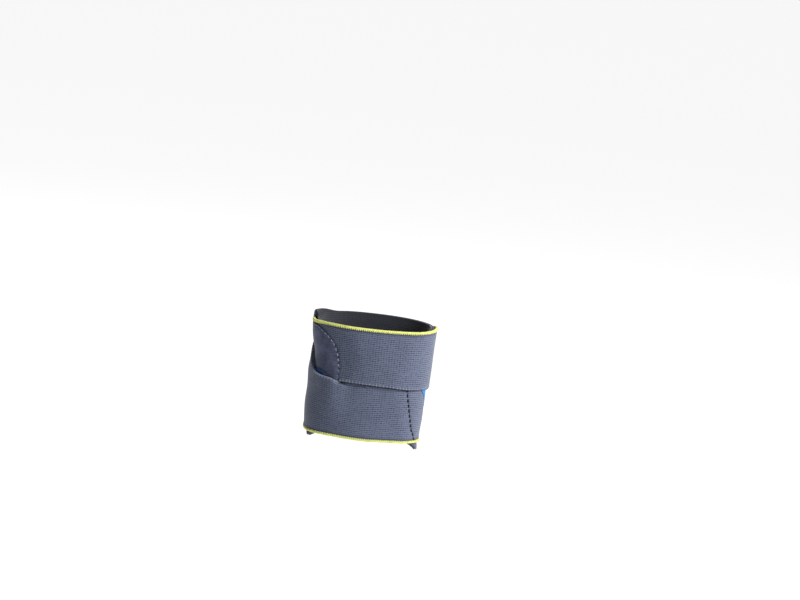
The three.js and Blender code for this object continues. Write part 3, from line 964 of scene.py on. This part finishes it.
loop_base = layer("loop_strip_base", loop_strip, LOOP_STEP, LOOP_RIM, ground_finish,
                  "loop", "loop_strip", shade=shaded_end)
lower_tape = layer("lower_hook_tape", lower_hook, LOOP_STEP, LOOP_RIM, hook_finish,
                   "hook", "lower_hook_patch")
upper_tape = layer("upper_hook_tape", upper_hook, LOOP_STEP, LOOP_RIM, hook_finish,
                   "hook", "upper_hook_patch")

# %% [markdown]
# ## Faces at the crossing
# At the foot of the curved seam the real cloth is pinched: the lower band's free edge dives under the upper
# band, whose own free edge comes out over it, and no slit is left between them. So a band's faces are
# changed a little near its free edge, along a stretch that starts and ends softly. A painted shadow on the
# lower band stands for the dark shadow line under the upper one.

# %% Edges that dive, lift and rest
EDGE_FREE, EDGE_SUNK, EDGE_RISE, EDGE_THICK = 4.0, -0.4, 0.8, 0.6
DIVE, DIVE_WIDTH = (-19.5, -16, -2, 5), (0.2, 2.2)
LIFT, LIFT_WIDTH = (-17.2, -16, -14, -8), (0.2, 3)
REST_WIDTH, REST_STOP = (1, 5), (CROSSING_START - 2, CROSSING_START + 1)
SHADE_WIDTH, SHADE_START = (0.3, 1.3), (CROSSING_START + 1.5, CROSSING_START + 3.5)


def lower_outer(around, height):
    """The lower band's outer face. From the seam's foot on, its free edge dives under the upper band."""
    outer = lower_band.outer(around, height)
    ceiling = lerp(EDGE_FREE, EDGE_SUNK, between(around, *DIVE))
    edge = 1 - smoothstep(lower_band.top(around) - height, *DIVE_WIDTH)
    return outer - np.maximum(outer - ceiling, 0) * edge


def upper_outer(around, height):
    """The upper band's outer face. At the seam's foot its free edge comes out over the lower band."""
    edge = 1 - smoothstep(height - upper_band.bottom(around), *LIFT_WIDTH)
    return upper_band.outer(around, height) + EDGE_RISE * edge * between(around, *LIFT)


def lower_inner(around, height):
    """The lower band's inner face. On the left its free edge rests on the cloth below it."""
    on_strip = (around < LOOP_ENDS[1]) & (height < LOOP_EDGES[1])
    below = np.where(on_strip, loop_strip.outer(around, height), panel.outer(around, height)) + TOUCH
    edge = 1 - smoothstep(lower_band.top(around) - height, *REST_WIDTH)
    edge = edge * (1 - smoothstep(around, *REST_STOP))
    inner = lower_band.inner(around, height)
    return np.minimum(lerp(inner, np.minimum(inner, below), edge), lower_outer(around, height) - EDGE_THICK)


def under_upper(around, height):
    """Where the lower band is painted dark as the shadow under the upper band's edge."""
    near = 1 - smoothstep(upper_band.outside(around, height), *SHADE_WIDTH)
    return near * smoothstep(around, *SHADE_START)


print(f"the lower band's free edge dives {EDGE_FREE - EDGE_SUNK:.1f} mm at most")

# %% [markdown]
# ## The woven bands
# The weave's grid sets the mesh: four steps to each column and four to each row, so that the dashes fall
# on mesh points. Rows are counted as a share of the webbing's full width, because the webbing narrows as
# it is stretched, while a rounded corner simply cuts through the rows. The webbing goes on into the
# coloured edge, which is woven round it, and its free edge reaches further behind the other band.

# %% The bands' meshes
WEAVE_STEPS, BAND_RIM = 4, 0.6
EDGE_GRIP = EDGE_SPACE - EDGE_RADIUS
LOWER_REACH, LOWER_STRETCH = 2.5, (-16.6, -14, 3, 5)
UPPER_REACH, UPPER_STRETCH = 4, (-20, -18.5, -18.2, -16.8)


def band_piece(name, band, edges, reach, faces, finish, node, **looks):
    """A band with its weave in relief. edges are the webbing's two edges before its corners are cut."""
    low, high = edges
    relief = looks.pop("relief", flat(0))
    places = np.arange(band.start, band.end + TABLE_STEP, TABLE_STEP)
    slant = np.gradient((low(places) + high(places)) / 2, places)
    lengths = np.concatenate([[0], np.cumsum(np.hypot(1, slant[1:]) * TABLE_STEP)])

    def measure(around, height):
        across = (height - low(around)) / (high(around) - low(around))
        return np.interp(around, places, lengths) / COLUMN, across * ROWS

    def woven(around, height):
        return relief(around, height) - WEAVE_DEPTH * weave(*measure(around, height))

    wall = Wall(
        band.start,
        band.end,
        lambda around: band.bottom(around) - reach[0](around),
        lambda around: band.top(around) + reach[1](around),
    ).faces(*faces)
    columns = np.arange(0, lengths[-1] / COLUMN, 1 / WEAVE_STEPS) * COLUMN
    drawn = graded(band.start, band.end, np.interp(columns, lengths, places), BAND_RIM)
    rows = np.arange(ROWS * WEAVE_STEPS + 1) / (ROWS * WEAVE_STEPS)
    tallest = float(np.max(wall.top(drawn) - wall.bottom(drawn)))
    shares = graded(0.0, 1.0, rows, BAND_RIM / tallest)
    piece = wall_piece(name, wall, drawn, shares, BAND_RIM, finish, measure, woven, **looks)
    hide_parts(node)
    return piece


lower_web = band_piece(
    "lower_band_web",
    lower_band,
    (lambda around: lower_bottom(around) + EDGE_SPACE, lower_top),
    (flat(EDGE_GRIP), lambda around: LOWER_REACH * between(around, *LOWER_STRETCH)),
    (lower_inner, lower_outer),
    lower_webbing,
    "lower_band",
    relief=dent(right_seam, RIGHT_DENT),
    shade=under_upper,
)
upper_web = band_piece(
    "upper_band_web",
    upper_band,
    (upper_bottom, lambda around: upper_top(around) - EDGE_SPACE),
    (lambda around: UPPER_REACH * between(around, *UPPER_STRETCH), flat(EDGE_GRIP)),
    (upper_band.inner, upper_outer),
    upper_webbing,
    "upper_band",
)

# %% [markdown]
# ## Yarn that follows a route
# Stitches, the ticks of the selvage and the wraps of the coloured edge are all the same job: a small
# shape repeated along a line on the cloth. Geometry Nodes do that well. The route goes in as a chain of
# points that know which way is out. A tree resamples it at the pitch, turns a shape to the route and
# to the outward direction at each point, and realizes the copies so that the result is a plain mesh.

# %% What the trees share


def new_tree(name, sizes):
    """A geometry tree with a mesh and a material going in, and a named input for each size."""
    tree = bpy.data.node_groups.new(name, "GeometryNodeTree")
    tree.interface.new_socket("Mesh", in_out="INPUT", socket_type="NodeSocketGeometry")
    for size in sizes:
        tree.interface.new_socket(size, in_out="INPUT", socket_type="NodeSocketFloat")
    tree.interface.new_socket("Material", in_out="INPUT", socket_type="NodeSocketMaterial")
    tree.interface.new_socket("Mesh", in_out="OUTPUT", socket_type="NodeSocketGeometry")
    entry = {socket.name: Flow(tree, socket) for socket in tree.nodes.new("NodeGroupInput").outputs}

    def add(kind, settings=None, inputs=None, output=0):
        return Flow(tree, new_node(tree, kind, settings or {}, inputs or {}).outputs[output])

    def finish_with(geometry):
        real = add("GeometryNodeRealizeInstances", {}, {0: geometry})
        painted = add("GeometryNodeSetMaterial", {}, {"Geometry": real, "Material": entry["Material"]})
        tree.links.new(painted.socket, tree.nodes.new("NodeGroupOutput").inputs[0])
        return tree

    return add, entry, finish_with


def circle(add, sides, radius):
    return add("GeometryNodeCurvePrimitiveCircle", {}, {"Resolution": sides, "Radius": radius})


def swept(add, route, section, caps):
    return add("GeometryNodeCurveToMesh", {}, {0: route, 1: section, "Fill Caps": caps})


def bent_yarn(add, length, thickness, bow, sides, parts):
    """A short length of yarn along X whose middle stands up and whose ends dip."""
    start, end = (add("ShaderNodeCombineXYZ", {}, {0: length * half, 2: bow * -1.0}) for half in (-0.5, 0.5))
    crown = add("ShaderNodeCombineXYZ", {}, {2: bow})
    bend = {"Resolution": parts, "Start": start, "Middle": crown, "End": end}
    line = add("GeometryNodeCurveQuadraticBezier", {}, bend)
    return swept(add, line, circle(add, sides, thickness * 0.5), True)


def along_route(add, route, pitch, shape, forward, turn):
    """Copies of a shape along a route, with one axis along it and another pointing out."""
    spaced = add("GeometryNodeResampleCurve", {"mode": "LENGTH"}, {"Curve": route, "Length": pitch})
    tangent = add("GeometryNodeInputTangent")
    outward = add("GeometryNodeInputNamedAttribute", {"data_type": "FLOAT_VECTOR"}, {"Name": "outward"})
    aim = add("FunctionNodeAlignRotationToVector", {"axis": forward}, {"Vector": tangent})
    upright = {"axis": "Z" if forward == "X" else "X", "pivot_axis": forward}
    stand = add("FunctionNodeAlignRotationToVector", upright, {"Rotation": aim, "Vector": outward})
    spin = add("ShaderNodeCombineXYZ", {}, {2 if forward == "X" else 0: turn})
    turned = add("FunctionNodeRotateRotation", {"rotation_space": "LOCAL"}, {0: stand, 1: spin})
    return add("GeometryNodeInstanceOnPoints", {}, {"Points": spaced, "Instance": shape, "Rotation": turned})


print("trees end in realized copies with a material")

# %% [markdown]
# ## Three trees
# A stitch row lays bent yarns along a route. A wrapped edge sweeps a core along it and sets leaning hoops
# on the core. Pile curls are sown over a mesh instead, at random with fixed seeds, and each is turned and
# sized by chance.

# %% The node trees
STITCH_SIDES, STITCH_PARTS, CURL_SIDES, CURL_PARTS = 6, 8, 4, 6
CORE_SIDES, HOOP_SIDES, WRAP_SIDES = 12, 14, 6
SOW_SEED, TURN_SEED, SIZE_SEED = 5, 7, 11
CURL_LEAST, CURL_MOST = 0.75, 1.25


def stitch_tree():
    add, entry, finish_with = new_tree("stitch row", ("Pitch", "Length", "Thickness", "Bow", "Turn"))
    route = add("GeometryNodeMeshToCurve", {}, {0: entry["Mesh"]})
    yarn = bent_yarn(add, entry["Length"], entry["Thickness"], entry["Bow"], STITCH_SIDES, STITCH_PARTS)
    return finish_with(along_route(add, route, entry["Pitch"], yarn, "X", entry["Turn"]))


def wrapped_edge_tree():
    add, entry, finish_with = new_tree("wrapped edge", ("Pitch", "Core", "Wrap", "Lean", "Reach"))
    route = add("GeometryNodeMeshToCurve", {}, {0: entry["Mesh"]})
    core = swept(add, route, circle(add, CORE_SIDES, entry["Core"]), True)
    hoop = swept(add, circle(add, HOOP_SIDES, entry["Core"]), circle(add, WRAP_SIDES, entry["Wrap"]), False)
    shift = add("ShaderNodeCombineXYZ", {}, {1: entry["Reach"]})
    hoop = add("GeometryNodeTransform", {}, {"Geometry": hoop, "Translation": shift})
    wraps = along_route(add, route, entry["Pitch"], hoop, "Z", entry["Lean"])
    whole = add("GeometryNodeJoinGeometry")
    for part in (core, wraps):
        whole.tree.links.new(part.socket, whole.socket.node.inputs[0])
    return finish_with(whole)


def curl_tree():
    add, entry, finish_with = new_tree("pile curls", ("Density", "Height", "Thickness"))
    bare = add("GeometryNodeInputNamedAttribute", {"data_type": "FLOAT"}, {"Name": "bare"})
    sowing = {"Mesh": entry["Mesh"], "Density": bare * entry["Density"], "Seed": SOW_SEED}
    sown = add("GeometryNodeDistributePointsOnFaces", {}, sowing)
    arch = bent_yarn(add, entry["Height"], entry["Thickness"], entry["Height"], CURL_SIDES, CURL_PARTS)
    spins = {2: 0.0, 3: 2 * math.pi, "Seed": TURN_SEED}
    spin = add("FunctionNodeRandomValue", {"data_type": "FLOAT"}, spins, 1)
    turn = add("ShaderNodeCombineXYZ", {}, {2: spin})
    rotations = {0: sown.beside("Rotation"), 1: turn}
    turned = add("FunctionNodeRotateRotation", {"rotation_space": "LOCAL"}, rotations)
    sizes = {2: CURL_LEAST, 3: CURL_MOST, "Seed": SIZE_SEED}
    grown = add("FunctionNodeRandomValue", {"data_type": "FLOAT"}, sizes, 1)
    copies = {"Points": sown, "Instance": arch, "Rotation": turned, "Scale": grown}
    return finish_with(add("GeometryNodeInstanceOnPoints", {}, copies))


stitches, wrapped_edge, curls = stitch_tree(), wrapped_edge_tree(), curl_tree()
print("trees:", ", ".join(tree.name for tree in bpy.data.node_groups))

# %% [markdown]
# ## Stitches
# A tree runs as a modifier on a holder, and what it makes is kept as a plain mesh. On the panel the thread
# is paler than the cloth. Beside it, where the cloth is pulled hardest, short dark yarns are laid as painted
# shadow standing for the needle holes. On the webbing the thread is dark and thick and sits in its dent.

# %% The two seams
STITCH_PITCH = 2.9 * MM
PALE_STITCH = {"Length": 1.8 * MM, "Thickness": 0.5 * MM, "Bow": 0.25 * MM}
DARK_STITCH = {"Length": 1.8 * MM, "Thickness": 1.1 * MM, "Bow": 0.2 * MM}
NEEDLE_HOLE_SHADOW = {"Length": 1.2 * MM, "Thickness": 0.7 * MM, "Bow": 0.1 * MM}
HALF_PITCH, HOLE_TOP = 6, 20  # the hole shadows start half a pitch on, counted in points, and stop at a height


def route_mesh(line, off):
    """A route on the cloth as a chain of points that know which way is out."""
    around, height = line[:, 0], line[:, 1]
    points = off_form(around, height, off)
    outward = (off_form(around, height, off + 1) - points) / MM
    mesh = bpy.data.meshes.new("route")
    mesh.from_pydata(points.tolist(), [(i, i + 1) for i in range(len(points) - 1)], [])
    mesh.attributes.new("outward", "FLOAT_VECTOR", "POINT").data.foreach_set("vector", outward.ravel())
    return mesh


def grow(name, base, tree, **inputs):
    """Runs a tree on a mesh and keeps what it makes as a plain piece."""
    holder = bpy.data.objects.new("holder", base)
    bpy.context.scene.collection.objects.link(holder)
    modifier = holder.modifiers.new("grow", "NODES")
    modifier.node_group = tree
    for socket in tree.interface.items_tree:
        if socket.in_out == "INPUT" and socket.name in inputs:
            modifier[socket.identifier] = inputs[socket.name]
    graph = bpy.context.evaluated_depsgraph_get()
    mesh = bpy.data.meshes.new_from_object(holder.evaluated_get(graph), depsgraph=graph)
    mesh.name = name
    bpy.data.objects.remove(holder)
    return keep(name, mesh)


def sew(name, line, wall, sunk, finish, stitch):
    """A row of stitches along a line on a wall, sunk into its dent."""
    route = route_mesh(line, wall.outer(line[:, 0], line[:, 1]) - sunk)
    return grow(name, route, stitches, Pitch=STITCH_PITCH, Turn=0.0, Material=finish, **stitch)


# Short dark yarns along the needle line are painted shadow standing for the needle holes.
hole_shadows = needle_line[HALF_PITCH:]
hole_shadows = hole_shadows[hole_shadows[:, 1] < HOLE_TOP]
sew("curved_seam_stitches", curved_seam, panel, CURVED_DENT, pale_thread, PALE_STITCH)
sew("curved_seam_hole_shadows", hole_shadows, panel, CURVED_DENT, dark_thread, NEEDLE_HOLE_SHADOW)
right_stitches = sew("thumb_seam_stitches", right_seam, lower_band, RIGHT_DENT / 2, dark_thread, DARK_STITCH)

# %% [markdown]
# ## Selvages
# Webbing is bound along its plain edges by a yarn that comes up over the rim at every few floats. It is
# the stitch tree again, with each short yarn turned across the route.

# %% The ticks of the selvages
TICK = {"Pitch": 2.0 * MM, "Length": 1.5 * MM, "Thickness": 0.38 * MM, "Bow": 0.2 * MM, "Turn": math.pi / 2}
TICK_INSET, TICK_SUNK, ROUTE_STEP = 0.65, 0.1, 0.5
UPPER_TICKS = (-16, TAIL_REACH - TAIL_RADIUS)
LOWER_TICKS = (TAIL_RADIUS - TAIL_REACH, CROSSING_START)


def selvage(name, outer, edge, side, ends):
    """The ticks along a plain edge. side is 1 where the webbing lies above the edge and -1 below it."""
    places = steps(*ends, ROUTE_STEP)
    line = np.stack([places, edge(places) + side * TICK_INSET], -1)
    route = route_mesh(line, outer(line[:, 0], line[:, 1]) - TICK_SUNK)
    return grow(name, route, stitches, Material=selvage_yarn, **TICK)


upper_selvage = selvage("upper_selvage_ticks", upper_outer, upper_band.bottom, 1, UPPER_TICKS)
lower_selvage = selvage("lower_selvage_ticks", lower_outer, lower_band.top, -1, LOWER_TICKS)

# %% [markdown]
# ## Lime edges
# A thick lime yarn is woven along one edge of each band. Close wraps give it its beaded line, and each
# wrap reaches a little towards the webbing, which it grips. At the left the upper edge isn't tucked in as
# deep as its band, so that it still shows beside the panel.

# %% The wrapped edges
EDGE = {"Pitch": 1.15 * MM, "Core": 0.72 * MM, "Wrap": 0.32 * MM, "Lean": 0.25}
EDGE_REACH = 0.25 * MM
EDGE_OUT, EDGE_OUT_OFF = (28, 38), -0.1
UPPER_EDGE_ENDS = (root_start, TAIL_REACH - TAIL_RADIUS)
LOWER_EDGE_ENDS = (TAIL_RADIUS - TAIL_REACH, SEWN_END)


def lime_edge(name, band, edge, side, ends, node):
    """The wrapped yarn along a band's edge. side is 1 along the upper edge and -1 along the lower one."""
    places = steps(*ends, ROUTE_STEP)
    line = np.stack([places, edge(places) - side * EDGE_RADIUS], -1)
    off = band.inner(line[:, 0], line[:, 1]) + EDGE_LIFT
    if band is upper_band:
        off = lerp(off, EDGE_OUT_OFF, smoothstep(-places, *EDGE_OUT))
    reach = side * EDGE_REACH
    piece = grow(name, route_mesh(line, off), wrapped_edge, Reach=reach, Material=lime_finish, **EDGE)
    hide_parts(node)
    return piece


upper_edge = lime_edge("upper_lime_edge", upper_band, upper_top, 1, UPPER_EDGE_ENDS, "upper_edge")
lower_edge = lime_edge("lower_lime_edge", lower_band, lower_bottom, -1, LOWER_EDGE_ENDS, "lower_edge")

# %% [markdown]
# ## Loop pile
# Where the strip isn't covered by a band, fine curls of pile stand on it. They are sown at random with a
# fixed seed, and a mask on the mesh keeps them off the covered stretches and the strip's rim.

# %% The curls
CURLS = {"Density": 4.4e6, "Height": 0.45 * MM, "Thickness": 0.12 * MM}
SPARSE = 0.5  # the share of the pile that is left at the shaded left end, where the ground's painted shade shows
BED_RIM, BED_STEP, BAND_CLEAR = 0.4, 0.8, 0.5

bed_places = steps(loop_strip.start + BED_RIM, loop_strip.end - BED_RIM, BED_STEP)
bed_heights = steps(LOOP_EDGES[0] + BED_RIM, LOOP_EDGES[1] - BED_RIM, BED_STEP)
bed_place = np.meshgrid(bed_places, bed_heights, indexing="ij")
bed_points = off_form(*bed_place, loop_strip.outer(*bed_place))
bed_quads = grid_quads(np.arange(bed_place[0].size).reshape(bed_place[0].shape))
bed = bpy.data.meshes.new("pile bed")
bed.from_pydata(bed_points.reshape(-1, 3).tolist(), [], bed_quads.tolist())
cover = np.maximum(upper_band.depth(*bed_place), lower_band.depth(*bed_place))
free = (cover < -BAND_CLEAR) & (loop_strip.depth(*bed_place) > BED_RIM)
# At the shaded left end the pile is thinned so that the ground's painted shade shows.
store(bed, "bare", np.where(free, 1 - (1 - SPARSE) * shaded_end(*bed_place), 0))
pile_curls = grow("loop_strip_curls", bed, curls, Material=pile_finish, **CURLS)

# %% [markdown]
# ## What each soft piece was cut from
# The bands, the lining, the strip and the hook tapes are sheets, and their flat sizes are worked out here.
# For a piece that isn't a full rectangle its area is worked out too. The panel is padded, thin and not very
# full.

# %% Flat sizes
UPPER_WIDTH, LOWER_WIDTH, LINING_HEIGHT = 32.0, 33.0, 73
UPPER_SHARE, LINING_SHARE, PANEL_FILL = 0.86, 0.85, 0.3


def flat_size(wall, width):
    return (wall.end - wall.start) * MM, width * MM


upper_flat = flat_size(upper_band, UPPER_WIDTH)
lining_flat = flat_size(lining, LINING_HEIGHT)
loop_flat = flat_size(loop_strip, LOOP_EDGES[1] - LOOP_EDGES[0])
hook_flat = flat_size(upper_hook, HOOK_EDGES[1] - HOOK_EDGES[0])
UPPER_SHARE * upper_flat[0] * upper_flat[1]
flat_size(lower_band, LOWER_WIDTH)
LINING_SHARE * lining_flat[0] * lining_flat[1]
print(f"the upper band was cut {upper_flat[0] / MM:.0f} by {upper_flat[1] / MM:.0f} mm")

# %% [markdown]
# ## Floor and light
# The support is held up as if worn, so the floor lies well below it. The floor is pale and glows enough
# to go white. One large soft light stands to the right and in front, and a weak one fills the left. Two
# more light the back and the right rim.

# %% The stage
FLOOR_HEIGHT, FLOOR_HALF, FLOOR_TONE, FLOOR_GLOW = -0.17, 30.0, 0.25, 0.9
WORLD_STRENGTH = 0.12

corner_signs = ((-1, -1), (1, -1), (1, 1), (-1, 1))
floor_corners = [(x * FLOOR_HALF, y * FLOOR_HALF, FLOOR_HEIGHT) for x, y in corner_signs]
floor_mesh = bpy.data.meshes.new("floor")
floor_mesh.from_pydata(floor_corners, [], [(0, 1, 2, 3)])
floor_finish = Finish("pale floor", base_color=(FLOOR_TONE, FLOOR_TONE, FLOOR_TONE, 1), roughness=1.0,
                      specular_ior_level=0.0, emission_color=(1, 1, 1, 1), emission_strength=FLOOR_GLOW)
floor_mesh.materials.append(floor_finish.material)
floor = bpy.data.objects.new("floor", floor_mesh)
bpy.context.scene.collection.objects.link(floor)

world = bpy.data.worlds.new("studio")
world.use_nodes = True
world.node_tree.nodes["Background"].inputs["Color"].default_value = (1, 1, 1, 1)
world.node_tree.nodes["Background"].inputs["Strength"].default_value = WORLD_STRENGTH
bpy.context.scene.world = world


def soft_light(name, place, size, power):
    lamp = bpy.data.lights.new(name, "AREA")
    lamp.shape, lamp.size, lamp.energy = "DISK", size, power
    light = bpy.data.objects.new(name, lamp)
    light.location = place
    light.rotation_euler = (-Vector(place)).to_track_quat("-Z", "Y").to_euler()
    bpy.context.scene.collection.objects.link(light)


soft_light("key", (1.0, -0.65, 0.83), size=0.7, power=34.0)
soft_light("fill", (-0.5, -1.4, 0.5), size=1.0, power=0.8)
soft_light("back", (-0.7, 1.2, 0.9), size=0.8, power=7.0)
soft_light("rim", (1.3, 0.35, 0.45), size=0.6, power=12.0)
print(f"floor at {FLOOR_HEIGHT} m and {len(bpy.data.lights)} lights")

# %% [markdown]
# ## Camera
# The camera looks a little down on the front and is rolled, so that the support leans. The scale and the
# picture's point that the part's origin falls on fix where it aims and how wide it sees.

# %% The view
SCALE_MM, DISTANCE, ELEVATION, ROLL = 0.585, 1.5, math.radians(11.4), math.radians(6.5)
IMAGE, ORIGIN_PIXEL = Vector((800, 600)), Vector((368.7, 378))

level = Vector((0, math.cos(ELEVATION), -math.sin(ELEVATION)))
upright = Vector((0, math.sin(ELEVATION), math.cos(ELEVATION)))
right = math.cos(ROLL) * Vector((1, 0, 0)) + math.sin(ROLL) * upright
up = right.cross(level)
offset = (IMAGE / 2 - ORIGIN_PIXEL) * SCALE_MM * MM
aim = (level * DISTANCE + right * offset.x - up * offset.y).normalized()
side = (right - aim * right.dot(aim)).normalized()
lens = bpy.data.cameras.new("camera")
lens.angle = 2 * math.atan(IMAGE.x / 2 * SCALE_MM * MM / DISTANCE)
camera = bpy.data.objects.new("camera", lens)
turned = Matrix((side, side.cross(aim), -aim)).transposed().to_4x4()
camera.matrix_world = Matrix.Translation(-level * DISTANCE) @ turned
bpy.context.scene.collection.objects.link(camera)
bpy.context.scene.camera = camera
bpy.context.scene.view_settings.view_transform = "Standard"
print(f"camera {DISTANCE} m away, {math.degrees(lens.angle):.1f} degrees wide")
